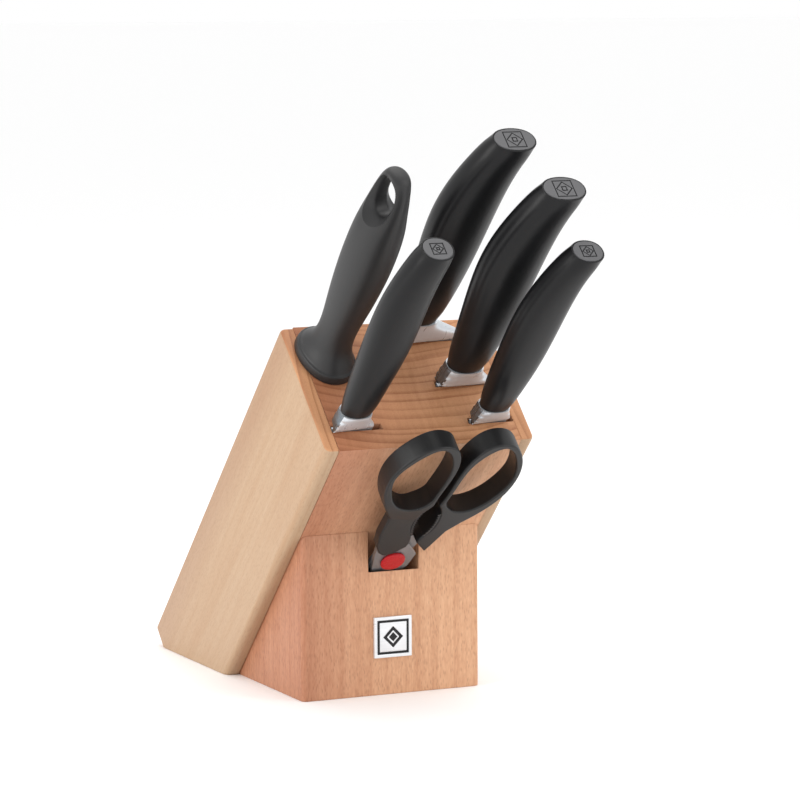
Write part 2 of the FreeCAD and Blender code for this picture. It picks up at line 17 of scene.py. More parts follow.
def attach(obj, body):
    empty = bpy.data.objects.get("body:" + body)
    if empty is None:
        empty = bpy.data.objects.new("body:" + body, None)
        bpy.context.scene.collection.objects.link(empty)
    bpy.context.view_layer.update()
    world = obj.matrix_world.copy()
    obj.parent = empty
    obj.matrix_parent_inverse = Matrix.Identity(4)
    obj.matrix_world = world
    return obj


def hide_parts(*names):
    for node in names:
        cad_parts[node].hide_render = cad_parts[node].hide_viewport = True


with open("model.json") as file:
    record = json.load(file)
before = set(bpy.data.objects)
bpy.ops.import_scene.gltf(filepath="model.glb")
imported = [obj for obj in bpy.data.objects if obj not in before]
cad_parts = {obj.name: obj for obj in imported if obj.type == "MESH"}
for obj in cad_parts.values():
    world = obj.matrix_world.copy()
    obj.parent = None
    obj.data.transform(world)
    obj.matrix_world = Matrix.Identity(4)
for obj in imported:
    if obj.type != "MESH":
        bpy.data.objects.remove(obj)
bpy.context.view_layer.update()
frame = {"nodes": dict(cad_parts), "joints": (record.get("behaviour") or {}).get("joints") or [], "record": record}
bpy.ops.object.select_all(action="DESELECT")

# %% [markdown]
# The block leans forward, so its grain, its slots and its knives are all tilted. It is easier to think of them
# upright: x stays x, t runs from the leaning front face to the back, and s runs up the grain. One matrix stands
# the block up and another leans it again. The lean is the direction in which a knife slides out.

# %% Upright and leaning
MM = 0.001
lift = next(joint for joint in frame["joints"] if joint["name"] == "paring_knife_lift")
slide = Vector(lift["axis"]).normalized()
LEAN = math.atan2(-slide.y, slide.z)
STAND = Matrix.Rotation(-LEAN, 4, "X")
FALL = Matrix.Rotation(LEAN, 4, "X")


def corners(node, stand=STAND):
    """Every vertex of a CAD node as rows of x, t and s."""
    mesh = frame["nodes"][node].data
    points = np.empty(len(mesh.vertices) * 3)
    mesh.vertices.foreach_get("co", points)
    turn = np.array(stand)
    return points.reshape(-1, 3) @ turn[:3, :3].T + turn[:3, 3]


TOP = float(corners("core_board_front")[:, 2].max())
DEPTH = float(corners("core_board_back")[:, 1].max())
print(f"lean {math.degrees(LEAN):.1f} degrees, face {TOP / MM:.1f} mm, depth {DEPTH / MM:.1f} mm")

# %% [markdown]
# A camera is three things: where it stands, where it looks and how long its lens is. This one stands low, to the
# left of the front, and far away, so that upright edges stay nearly upright.

# %% Camera
CAMERA_PLACE = Vector((-0.7183, -1.6288, 0.3379))
CAMERA_AZIMUTH = math.radians(-25.03)
CAMERA_ELEVATION = math.radians(6.49)
CAMERA_ROLL = math.radians(-0.29)
CAMERA_LENS = 160.7
SENSOR_WIDTH = 36.0


def make_camera():
    sensor = bpy.data.cameras.new("camera")
    sensor.lens = CAMERA_LENS
    sensor.sensor_width = SENSOR_WIDTH
    sensor.clip_start = 0.1
    sensor.clip_end = 100.0
    camera = bpy.data.objects.new("camera", sensor)
    bpy.context.scene.collection.objects.link(camera)
    across = math.cos(CAMERA_ELEVATION)
    back = Vector((
        math.sin(CAMERA_AZIMUTH) * across,
        -math.cos(CAMERA_AZIMUTH) * across,
        math.sin(CAMERA_ELEVATION),
    ))
    right = Vector((math.cos(CAMERA_AZIMUTH), math.sin(CAMERA_AZIMUTH), 0.0))
    up = back.cross(right)
    roll = Matrix.Rotation(CAMERA_ROLL, 4, back)
    turn = Matrix((roll @ right, roll @ up, back)).transposed().to_4x4()
    camera.matrix_world = Matrix.Translation(CAMERA_PLACE) @ turn
    bpy.context.scene.camera = camera
    return camera


camera = make_camera()
print(camera.name, "with a lens of", CAMERA_LENS, "mm")

# %% [markdown]
# A pale floor that runs far past the object stands in for a studio sweep. Large area lamps give light with soft
# edges: the larger a lamp is, the softer its shadow, and black plastic shows the lamp itself as a highlight.

# %% Floor and light
FLOOR_SIDE = 80.0
WARM_WHITE = (1.0, 0.985, 0.965)
OBJECT_MIDDLE = Vector((0.0, -0.06, 0.15))


def make_floor():
    bpy.ops.mesh.primitive_plane_add(size=FLOOR_SIDE, location=(0, 0, 0))
    floor = bpy.context.object
    floor.name = "studio_floor"
    floor.select_set(False)
    return floor


def make_lamp(name, place, size, watts):
    """A rectangular soft lamp that faces the middle of the object."""
    light = bpy.data.lights.new(name, "AREA")
    light.shape = "RECTANGLE"
    light.size, light.size_y = size
    light.energy = watts
    light.color = WARM_WHITE
    lamp = bpy.data.objects.new(name, light)
    bpy.context.scene.collection.objects.link(lamp)
    lamp.location = place
    toward = OBJECT_MIDDLE - Vector(place)
    lamp.rotation_euler = toward.to_track_quat("-Z", "Y").to_euler()
    return lamp


def make_air(strength):
    world = bpy.data.worlds.new("air")
    bpy.context.scene.world = world
    world.use_nodes = True
    sky = world.node_tree.nodes["Background"]
    sky.inputs["Color"].default_value = (1.0, 1.0, 1.0, 1.0)
    sky.inputs["Strength"].default_value = strength


floor = make_floor()
lamps = [
    make_lamp("left_softbox", (-1.5, -0.25, 0.65), (0.7, 1.3), 12.0),
    make_lamp("right_softbox", (1.1, -1.3, 0.8), (0.8, 1.2), 6.0),
    make_lamp("overhead_softbox", (0.25, 0.1, 1.6), (1.2, 1.0), 8.0),
]
make_air(1.0)
bpy.context.scene.view_settings.view_transform = "Standard"
print(len(lamps), "soft lamps")

# %% [markdown]
# A finish is a small tree of nodes behind the Principled shader. Drawn by hand it soon gets hard to read, so two
# small classes let it be written as arithmetic: a Flow is one socket, and a Finish is one material that adds
# nodes. Numbers that are the same all over the surface are set straight on the shader.

# %% Tools for finishes
class Flow:
    """One output socket, used like a number."""

    def __init__(self, finish, socket):
        self.finish = finish
        self.socket = socket

    def maths(self, operation, *values):
        return self.finish.add("ShaderNodeMath", {"operation": operation}, dict(enumerate(values)))

    def __add__(self, other):
        return self.maths("ADD", self, other)

    def __sub__(self, other):
        return self.maths("SUBTRACT", self, other)

    def __mul__(self, other):
        return self.maths("MULTIPLY", self, other)

    def __truediv__(self, other):
        return self.maths("DIVIDE", self, other)

    def __pow__(self, other):
        return self.maths("POWER", self, other)

    def __radd__(self, other):
        return self.maths("ADD", other, self)

    def __rsub__(self, other):
        return self.maths("SUBTRACT", other, self)

    def __rmul__(self, other):
        return self.maths("MULTIPLY", other, self)

    def __abs__(self):
        return self.maths("ABSOLUTE", self)

    def floor(self):
        return self.maths("FLOOR", self)

    def part(self):
        """What is left above the whole number below."""
        return self.maths("FRACT", self)

    def ramp(self, low, high):
        """A smooth step from 0 to 1 as the value goes from low to high."""
        return self.finish.add(
            "ShaderNodeMapRange", {"interpolation_type": "SMOOTHSTEP"}, {0: self, 1: low, 2: high},
        )


def tint(red, green, blue):
    """A colour as it is seen on a screen, 0 to 255, turned into light."""
    def light(value):
        share = value / 255
        return share / 12.92 if share <= 0.04045 else ((share + 0.055) / 1.055) ** 2.4
    return (light(red), light(green), light(blue), 1.0)


class Finish:
    """A material whose nodes are added by the calls below."""

    def __init__(self, name, **constants):
        self.material = bpy.data.materials.new(name)
        self.material.use_nodes = True
        self.tree = self.material.node_tree
        self.shader = self.tree.nodes["Principled BSDF"]
        for socket, value in constants.items():
            self.shader.inputs[socket.replace("_", " ")].default_value = value

    def add(self, kind, settings=None, sockets=None, out=0):
        """A node of a kind, with its settings first and then the values or flows of its sockets."""
        node = self.tree.nodes.new(kind)
        for key, value in (settings or {}).items():
            setattr(node, key, value)
        for key, value in (sockets or {}).items():
            self.feed(node.inputs[key], value)
        return Flow(self, node.outputs[out])

    def feed(self, socket, value):
        if isinstance(value, Flow):
            self.tree.links.new(value.socket, socket)
        else:
            socket.default_value = value

    def here(self, turn=(0, 0, 0)):
        """The point on the piece, turned."""
        return self.add("ShaderNodeMapping", None, {
            "Vector": self.add("ShaderNodeTexCoord", None, None, "Object"), "Rotation": turn,
        })

    def stretch(self, point, scale):
        return self.add("ShaderNodeMapping", None, {"Vector": point, "Scale": scale})

    def axes(self, point):
        split = self.add("ShaderNodeSeparateXYZ", None, {0: point})
        return [Flow(self, output) for output in split.socket.node.outputs]

    def noise(self, point, scale, detail=2.0, rough=0.5):
        return self.add("ShaderNodeTexNoise", None, {
            "Vector": point, "Scale": scale, "Detail": detail, "Roughness": rough,
        })

    def cells(self, point, scale, out="Distance"):
        return self.add("ShaderNodeTexVoronoi", None, {"Vector": point, "Scale": scale}, out)

    def mix(self, share, first, second, blend="MIX"):
        """The first colour, turning into the second as share goes from 0 to 1."""
        return self.add(
            "ShaderNodeMix", {"data_type": "RGBA", "blend_type": blend, "clamp_factor": True},
            {0: share, 6: first, 7: second}, 2,
        )

    def bump(self, height, strength, depth):
        return self.add("ShaderNodeBump", None, {"Height": height, "Strength": strength, "Distance": depth})

    def outward_edge(self):
        """Near 1 on sharp outward edges and 0 on flats."""
        return self.add("ShaderNodeNewGeometry", None, None, "Pointiness").ramp(0.52, 0.62)

    def wear(self, colour=None, roughness=None, normal=None):
        for socket, value in (("Base Color", colour), ("Roughness", roughness), ("Normal", normal)):
            if value is not None:
                self.feed(self.shader.inputs[socket], value)
        return self.material


print("tools for finishes are ready")

# %% [markdown]
# Beech is made from three things. Growth rings are long nested tubes about the heart of the tree, so they are
# drawn from the distance to a line that runs up the grain, and they come out as arcs on end grain and as long
# stripes on the faces. Fibres are fine noise, stretched along the grain. Rays are the small dark dashes that
# give beech away, and they are cells of a stretched cell pattern, most of them kept small.

# %% Beech
RAYS_PER_METRE = 1250.0
RAY_STRETCH = 0.28


def deeper(colour, share):
    return tuple(share * part for part in colour[:3]) + (1.0,)


def beech(name, turn, heart, light, dark, end_light, end_dark, blush_and_shade, spacing, fleck, coarse):
    """Beech with rings about the line (x, t) = heart, darker and redder where blush_and_shade, a function of x and
    t, is near 1: painted shade on the core and the wedge, a redder band on the panels.
    """
    wood = Finish(name, Specular_IOR_Level=0.35)
    point = wood.here(turn)
    across, through, _ = wood.axes(point)
    slow = wood.stretch(point, (1.0, 1.0, 0.10))
    wander = wood.noise(slow, 11.0, 2.0) - 0.5
    ripple = wood.noise(slow, 90.0, 2.0) - 0.5
    from_heart = ((across - heart[0]) ** 2 + (through - heart[1]) ** 2) ** 0.5
    radius = from_heart + wander * RING_SWAY + ripple * RING_RIPPLE
    uneven = wood.add(
        "ShaderNodeTexNoise", {"noise_dimensions": "1D"}, {"W": radius, "Scale": 130.0, "Detail": 1.0},
    )
    count = radius / spacing + 1.6 * (uneven - 0.5)
    ring = count.part()
    year = wood.add("ShaderNodeTexWhiteNoise", {"noise_dimensions": "1D"}, {"W": count.floor()})
    late = ring.ramp(0.35, 0.93) * (1 - ring.ramp(0.94, 1.0))
    late = late * (0.35 + 0.65 * year)

    fibre = wood.noise(wood.stretch(point, (1.0, 1.0, 0.018)), 1500.0, 3.0, 0.65)
    streak = wood.noise(wood.stretch(point, (1.0, 1.0, 0.03)), 210.0, 3.0, 0.6)
    broad = wood.noise(slow, 22.0, 2.0)
    grain = wood.noise(wood.stretch(point, (1.0, 1.0, 0.20)), 850.0, 2.0, 0.6)
    end = abs(wood.axes(wood.add(
        "ShaderNodeMapping", {"vector_type": "NORMAL"},
        {"Vector": wood.add("ShaderNodeTexCoord", None, None, "Normal"), "Rotation": turn},
    ))[2]).ramp(0.6, 0.8)

    tone = 0.22 * late + 0.45 * (fibre - 0.5) + 0.75 * (streak - 0.5) + 0.60 * (broad - 0.5) + 0.36
    tone = tone + coarse * (grain - 0.5)
    face = wood.mix(tone, light, dark)
    rays_across = wood.noise(wood.stretch(point, (1.0, 0.12, 1.0)), 420.0, 2.0)
    end_tone = 0.55 * late + 0.45 * (fibre - 0.5) + 0.35 * (rays_across - 0.5) + 0.7 * (broad - 0.5) + 0.26
    cut = wood.mix(end_tone, end_light, end_dark)

    dash_point = wood.stretch(point, (1.0, 1.0, RAY_STRETCH))
    near = wood.cells(dash_point, RAYS_PER_METRE)
    chosen = wood.axes(wood.cells(dash_point, RAYS_PER_METRE, "Color"))[0]
    dash = (1 - near.ramp(0.12, 0.55)) * chosen.ramp(0.0, 0.8)
    pore = 1 - wood.cells(wood.stretch(point, (1.0, 1.0, 0.05)), 2600.0).ramp(0.05, 0.32)

    face = wood.mix(dash * fleck, face, deeper(dark, 0.60))
    face = wood.mix(pore * 0.14, face, deeper(dark, 0.5))
    cut = wood.mix(pore * 0.22, cut, deeper(end_dark, 0.5))
    # Darker and redder where blush_and_shade is near 1: painted shade towards the left of the core and the wedge.
    colour = wood.mix(blush_and_shade(across, through), wood.mix(end, face, cut), HEARTWOOD_AND_SHADE, "MULTIPLY")
    height = fibre * 0.4 - dash * 0.5 * coarse - pore * 0.3 + late * 0.06 + grain * coarse
    return wood.wear(
        colour,
        0.50 + 0.16 * (streak - 0.5) + 0.10 * end - 0.05 * late,
        wood.bump(height, 0.40, 0.12 * MM),
    )


GRAIN_TURN = (-LEAN, 0.0, 0.0)
RING_SWAY = 12 * MM
RING_RIPPLE = 0.5 * MM
# Multiplied in to darken and redden: painted shade on the left of the core and the wedge, and a redder band near
# the back of the panels.
HEARTWOOD_AND_SHADE = (0.68, 0.53, 0.51, 1.0)
PALE = tint(184, 157, 129)
PALE_DARK = tint(168, 132, 100)
ROSE = tint(218, 172, 136)
ROSE_DARK = tint(182, 128, 94)
END_LIGHT = tint(206, 152, 110)
END_DARK = tint(140, 84, 50)
# The core and the wedge are painted darker and redder towards the left: painted shade.
core_beech = beech(
    "beech_core", GRAIN_TURN, (0.004, 0.185), ROSE, ROSE_DARK, END_LIGHT, END_DARK,
    lambda across, through: 1 - across.ramp(-0.060, 0.015), 4.8 * MM, 0.34, 0.9,
)
panel_beech = beech(
    "beech_panel", GRAIN_TURN, (0.30, 0.02), PALE, PALE_DARK, END_LIGHT, END_DARK,
    lambda across, through: 0.35 * through.ramp(0.045, 0.070), 4.8 * MM, 0.22, 0.4,
)
wedge_beech = beech(
    "beech_wedge", (0.0, 0.0, 0.0), (0.10, 0.13), ROSE, ROSE_DARK, END_LIGHT, END_DARK,
    lambda across, through: 1 - across.ramp(-0.060, 0.010), 5.0 * MM, 0.38, 1.1,
)
print("three cuts of beech")

# %% [markdown]
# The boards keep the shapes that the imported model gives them, since they are plain sawn timber, and only take
# their finish.

# %% Boards
def dress(node, material):
    """Give a CAD node a finish."""
    slots = frame["nodes"][node].data.materials
    slots.clear()
    slots.append(material)


for node in frame["nodes"]:
    if node.startswith("core_board") or node == "support_dowels":
        dress(node, core_beech)
print("boards dressed")

# %% [markdown]
# Moulded plastic is never quite smooth. Fine spark texture breaks up its highlights. Its outward edges are
# polished, which lowers their roughness, and they are also painted lighter, a painted highlight along the rims.

# %% Plastics
def plastic(name, light, dark, rough, grain=0.10, grain_size=2600.0, specular=0.22, depth=0.05 * MM):
    moulded = Finish(name, Specular_IOR_Level=specular)
    point = moulded.here()
    spark = moulded.noise(point, grain_size, 3.0, 0.6)
    cloud = moulded.noise(point, 38.0, 3.0)
    polish_and_sheen = moulded.outward_edge()
    # The colour is lighter on outward edges: a painted highlight along the rims.
    shade = moulded.mix(0.5 * cloud + 0.4 * spark + 0.4 * polish_and_sheen, dark, light)
    return moulded.wear(
        shade,
        rough + 0.14 * (cloud - 0.5) + 0.10 * (spark - 0.5) - 0.08 * polish_and_sheen,
        moulded.bump(spark, grain, depth),
    )


handle_plastic = plastic("handle_plastic", tint(26, 26, 28), tint(14, 14, 15), 0.34)
cap_plastic = plastic("cap_plastic", tint(104, 104, 106), tint(80, 80, 82), 0.42)
mark_plastic = plastic("cap_mark_plastic", tint(38, 38, 40), tint(26, 26, 28), 0.5)
grip_plastic = plastic("steel_grip_plastic", tint(40, 40, 41), tint(25, 25, 26), 0.46, 0.22, 1700.0, 0.45)
shears_plastic = plastic("shears_plastic", tint(26, 26, 27), tint(13, 13, 14), 0.42, 0.2, 1900.0, 0.38)
red_plastic = plastic("red_plastic", tint(200, 26, 34), tint(140, 6, 14), 0.40, 0.9, 520.0, 0.3, 0.5 * MM)
print("six plastics")

# %% [markdown]
# Steel shows how it was worked. Fine noise, stretched hard along one direction, is the trace of a grinding belt
# or a polishing wheel, and it goes into roughness and bump. Satin steel scatters so much light that it reads as
# pale grey paint with a sheen, so its Metallic is well under 1.

# %% Metals
def metal(name, light, dark, rough, turn=(0, 0, 0), lines=(1.0, 1.0, 1.0), depth=0.003 * MM, metallic=1.0):
    worked = Finish(name, Metallic=metallic)
    point = worked.here(turn)
    brush = worked.noise(worked.stretch(point, lines), 900.0, 2.0, 0.6)
    cloud = worked.noise(point, 60.0, 2.0)
    return worked.wear(
        worked.mix(0.6 * brush + 0.4 * cloud, dark, light),
        rough + 0.12 * (brush - 0.5) + 0.08 * (cloud - 0.5),
        worked.bump(brush, 0.08, depth),
    )


blade_steel = metal(
    "blade_steel", tint(214, 219, 224), tint(194, 199, 205), 0.30, GRAIN_TURN, (0.6, 1.0, 0.04), metallic=0.45,
)
# A darker steel for the bolster's spine facet: painted shade.
shaded_spine_steel = metal(
    "shaded_spine_steel", tint(132, 138, 144), tint(84, 90, 96), 0.28, GRAIN_TURN, (0.6, 1.0, 0.04), metallic=0.85,
)
shears_steel = metal(
    "shears_steel", tint(146, 148, 152), tint(112, 114, 118), 0.36, GRAIN_TURN, (0.25, 1.0, 0.04), metallic=0.8,
)
rod_steel = metal(
    "rod_steel", tint(206, 206, 208), tint(160, 160, 163), 0.30, GRAIN_TURN, (1.0, 1.0, 0.01), 0.2 * MM, 0.8,
)
fastener_steel = metal("fastener_steel", tint(200, 200, 202), tint(170, 170, 173), 0.30, metallic=0.7)
badge_metal = metal(
    "badge_metal", tint(236, 238, 240), tint(214, 216, 220), 0.30, (0, 0, 0), (0.05, 1.0, 1.0), metallic=0.5,
)
badge_enamel = plastic("badge_enamel", tint(40, 40, 42), tint(24, 24, 26), 0.35)
print("six metals and an enamel")

# %% [markdown]
# Most pieces start as one flat face that is pushed up ring by ring, like clay pulled on a stick. Four corners
# are enough: the Subdivision Surface modifier rounds them into an oval, and a light crease on the long edges
# squares that oval a little, as on a moulded grip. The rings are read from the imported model, so that every piece
# keeps its true size.

# %% Tools for modelling
OVAL_SHRINK = 0.9417        # how far subdivision pulls in the sides of a lightly creased four-cornered ring
ROUND_SHRINK = 0.9167       # and of one without a crease
LIGHT_CREASE = 0.173
BODY_OF = {node: body for body, nodes in frame["record"]["behaviour"]["bodies"].items() for node in nodes}


def only(piece):
    """Select one piece and make it the active one."""
    bpy.ops.object.select_all(action="DESELECT")
    piece.select_set(True)
    bpy.context.view_layer.objects.active = piece


def edit(piece):
    only(piece)
    bpy.ops.object.mode_set(mode="EDIT")


def rest():
    bpy.ops.object.mode_set(mode="OBJECT")


def pick(piece, kind, test):
    """In edit mode, select only the faces, edges or vertices that pass the test."""
    bpy.ops.mesh.select_mode(type=kind)
    bpy.ops.mesh.select_all(action="DESELECT")
    bpy.ops.object.mode_set(mode="OBJECT")
    mesh = piece.data
    if kind == "FACE":
        for face in mesh.polygons:
            face.select = bool(test(face.center, face.normal))
    elif kind == "EDGE":
        for line in mesh.edges:
            line.select = bool(test(*(mesh.vertices[end].co for end in line.vertices)))
    else:
        for vertex in mesh.vertices:
            vertex.select = bool(test(vertex.co))
    bpy.ops.object.mode_set(mode="EDIT")


def section(node, height, stand=STAND):
    """Middle and half sizes, across x and t, of a CAD node where it crosses an upright height."""
    mesh = frame["nodes"][node].data
    points = corners(node, stand)
    ends = np.empty(len(mesh.edges) * 2, dtype=int)
    mesh.edges.foreach_get("vertices", ends)
    first, second = points[ends[0::2]], points[ends[1::2]]
    crossing = (first[:, 2] - height) * (second[:, 2] - height) < 0
    first, second = first[crossing], second[crossing]
    share = ((height - first[:, 2]) / (second[:, 2] - first[:, 2]))[:, None]
    cut = first + share * (second - first)
    low, high = cut.min(0), cut.max(0)
    return Vector(((low[0] + high[0]) / 2, (low[1] + high[1]) / 2, height)), Vector(
        ((high[0] - low[0]) / 2, (high[1] - low[1]) / 2, 0.0)
    )


def span(node, stand=STAND):
    """Lowest and highest upright height of a CAD node."""
    heights = corners(node, stand)[:, 2]
    return float(heights.min()), float(heights.max())


def pull(name, rings):
    """Push a flat face through rings of (middle, half sizes) and close both ends."""
    middle, half = rings[0]
    bpy.ops.mesh.primitive_plane_add(size=2, location=middle)
    piece = bpy.context.object
    piece.name = name
    piece.scale = (half.x, half.y, 1.0)
    bpy.ops.object.transform_apply(location=True, rotation=False, scale=True)
    edit(piece)
    bpy.ops.mesh.select_all(action="SELECT")
    for (before, size_before), (after, size_after) in zip(rings, rings[1:]):
        bpy.ops.mesh.extrude_region_move(TRANSFORM_OT_translate={"value": after - before})
        bpy.ops.transform.resize(
            value=(size_after.x / size_before.x, size_after.y / size_before.y, 1.0), center_override=after,
        )
    bpy.ops.mesh.select_all(action="SELECT")
    bpy.ops.mesh.normals_make_consistent(inside=False)
    rest()
    return piece


def crease(piece, test, amount):
    edit(piece)
    pick(piece, "EDGE", test)
    bpy.ops.transform.edge_crease(value=amount)
    rest()


def along(first, second):
    """Whether an edge runs up the grain."""
    step = second - first
    return abs(step.z) > abs(step.x) + abs(step.y)


def modify(piece, kind, **settings):
    """Add one modifier, set it and apply it."""
    only(piece)
    modifier = piece.modifiers.new(kind.lower(), kind)
    for key, value in settings.items():
        setattr(modifier, key, value)
    bpy.ops.object.modifier_apply(modifier=modifier.name)


def subdivide(piece, levels=3):
    modify(piece, "SUBSURF", levels=levels, render_levels=levels)


def paint(piece, material, test):
    """Give the faces that pass the test a second material."""
    piece.data.materials.append(material)
    edit(piece)
    pick(piece, "FACE", test)
    piece.active_material_index = len(piece.data.materials) - 1
    bpy.ops.object.material_slot_assign()
    rest()


def settle(piece, material, *nodes, matrix=FALL, angle=40.0):
    """Put an upright piece in its leaning place, finish it, and let it stand for its CAD nodes."""
    piece.data.transform(matrix)
    if len(piece.data.materials) == 0:
        piece.data.materials.append(material)
    else:
        piece.data.materials[0] = material
    only(piece)
    bpy.ops.object.shade_smooth_by_angle(angle=math.radians(angle))
    piece.select_set(False)
    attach(piece, BODY_OF[nodes[0]])
    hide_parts(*nodes)
    return piece


print("tools for modelling are ready")

# %% [markdown]
# A knife's grip is fullest under the palm and turns forward at the end, where a grey cap closes it. The grip is
# pulled through eleven rings. Two rings that lie close together hold an edge crisp, so the rims are made of three,
# and the last rings step in and down to make the seat that the cap lies in.

# %% Knife grips
KNIVES = ("paring_knife", "utility_knife", "carving_knife", "chef_knife")
RIM_SOFT = 0.5 * MM
CAP_SEAT = 1.3 * MM
RINGS_PER_GRIP = 11


def shrunk(half, by):
    return Vector((half.x - by, half.y - by, 0.0))


def make_grip(knife):
    node = knife + "_handle"
    low, high = span(node)
    cap_middle, cap_half = section(knife + "_end_cap", high - 0.3 * MM)
    rings = []
    for i in range(RINGS_PER_GRIP):
        height = low + 0.05 * MM + (high - low - 0.1 * MM) * i / (RINGS_PER_GRIP - 1)
        middle, half = section(node, height)
        rings.append((middle, half / OVAL_SHRINK))
    foot, top = rings[0], rings[-1]
    up = Vector((0, 0, RIM_SOFT))
    seat = cap_half / ROUND_SHRINK
    rings = [
        (foot[0], shrunk(foot[1], RIM_SOFT)), foot, (foot[0] + up, foot[1]), *rings[1:-1],
        (top[0] - up, top[1]), top, (top[0], shrunk(seat, -0.25 * MM)), (top[0], seat),
        (top[0] - Vector((0, 0, CAP_SEAT)), seat), (top[0] - Vector((0, 0, CAP_SEAT)), shrunk(seat, 1 * MM)),
    ]
    grip = pull(knife + "_grip", rings)
    crease(grip, lambda a, b: along(a, b) and max(a.z, b.z) - min(a.z, b.z) > 2 * CAP_SEAT, LIGHT_CREASE)
    subdivide(grip)
    return settle(grip, handle_plastic, node)


for knife in KNIVES:
    grip = make_grip(knife)
    print(grip.name, len(grip.data.polygons), "faces")

# %% [markdown]
# The cap in the end of each grip carries a small engraved mark. Here it is a plain diamond in a square frame.
# The cap is a low oval button, and the mark is cut into it with the Boolean modifier, which takes one closed
# shape away from another.

# %% Grip caps
MARK_SHARE = 0.44           # of the cap's width
MARK_DEPTH = 0.35 * MM
MARK_LINE = 0.62 * MM
MARK_FLOOR = 0.1 * MM       # faces this far below the top are in the engraved lines
MARK_NEST = ((1.0, False), (0.62, True), (0.28, False))    # share of the mark, and whether it is on its corner
CAP_GAP = 0.12 * MM         # around the cap in its seat
CAP_SOFT = 0.35 * MM
CAP_RIM = 0.7 * MM


def make_frame(side, line, turned, middle, height):
    """A thin square frame, on its corner when turned, that stands through a surface."""
    quarter = math.radians(45.0)
    bpy.ops.mesh.primitive_cylinder_add(
        vertices=4, radius=side / math.sqrt(2), depth=height, location=middle,
        rotation=(0, 0, 0 if turned else quarter),
    )
    ring = bpy.context.object
    bpy.ops.object.transform_apply(location=True, rotation=True, scale=True)
    edit(ring)
    pick(ring, "FACE", lambda middle, normal: abs(normal.z) > 0.9)
    bpy.ops.mesh.inset(thickness=line)
    bpy.ops.mesh.bridge_edge_loops()
    bpy.ops.mesh.select_all(action="SELECT")
    bpy.ops.mesh.normals_make_consistent(inside=False)
    rest()
    return ring


def cut_away(piece, tool):
    modify(piece, "BOOLEAN", object=tool, operation="DIFFERENCE", solver="EXACT")
    bpy.data.objects.remove(tool)


def make_cap(knife):
    node = knife + "_end_cap"
    low, high = span(node)
    middle, half = section(node, (low + high) / 2)
    half = half / ROUND_SHRINK
    top = Vector((middle.x, middle.y, high))
    soft = Vector((0, 0, CAP_SOFT))
    rings = [
        (Vector((middle.x, middle.y, high - CAP_SEAT)), shrunk(half, CAP_GAP)),
        (top - soft, shrunk(half, CAP_GAP)),
        (top, shrunk(half, CAP_GAP)),
        (top, shrunk(half, CAP_RIM)),
        (top, half * 0.6),
    ]
    cap = pull(knife + "_cap", rings)
    subdivide(cap)
    mark = MARK_SHARE * 2 * max(half.x, half.y)
    for share, turned in MARK_NEST:
        cut_away(cap, make_frame(mark * share, MARK_LINE, turned, top, 2 * MARK_DEPTH))
    cap.data.materials.clear()
    cap.data.materials.append(cap_plastic)
    inside = mark * 0.75
    paint(cap, mark_plastic, lambda at, facing: (
        high - CAP_SEAT * 0.6 < at.z < high - MARK_FLOOR and (at - top).xy.length < inside
    ))
    return settle(cap, cap_plastic, node)


for knife in KNIVES:
    cap = make_cap(knife)
    print(cap.name, len(cap.data.polygons), "faces")

# %% [markdown]
# Blade and bolster are forged from one bar, so they are one piece here too, pulled from the grip down to the
# tip. The bolster is a stout wedge, full under the grip and thin towards the edge, and it stops just above the
# wood with a step. Below it the blade is flat at the spine and ground down to the edge. Creases keep the arrises
# of the forging crisp, and the bolster's spine facet is painted with a darker steel, a painted shade.

# %% Blades and bolsters
BOLSTER_SHARES = (0.0, 0.06, 0.3, 0.65, 0.94, 1.0)
BOLSTER_CREASES = (LIGHT_CREASE, 0.5)       # of its arrises, under the grip and at the wood
BOLSTER_SHRINK = (OVAL_SHRINK, 0.985)
BOLSTER_FOOT = 0.08 * MM    # above the wood
EDGE_SHARE = 0.5            # thickness of the bolster's edge side at its foot, as a share of its spine
EDGE_THICKNESS = 0.5 * MM
SPINE_THICKNESS = 2.4 * MM
BLADE_RINGS = 22


def blend(ends, share):
    return ends[0] + (ends[1] - ends[0]) * share


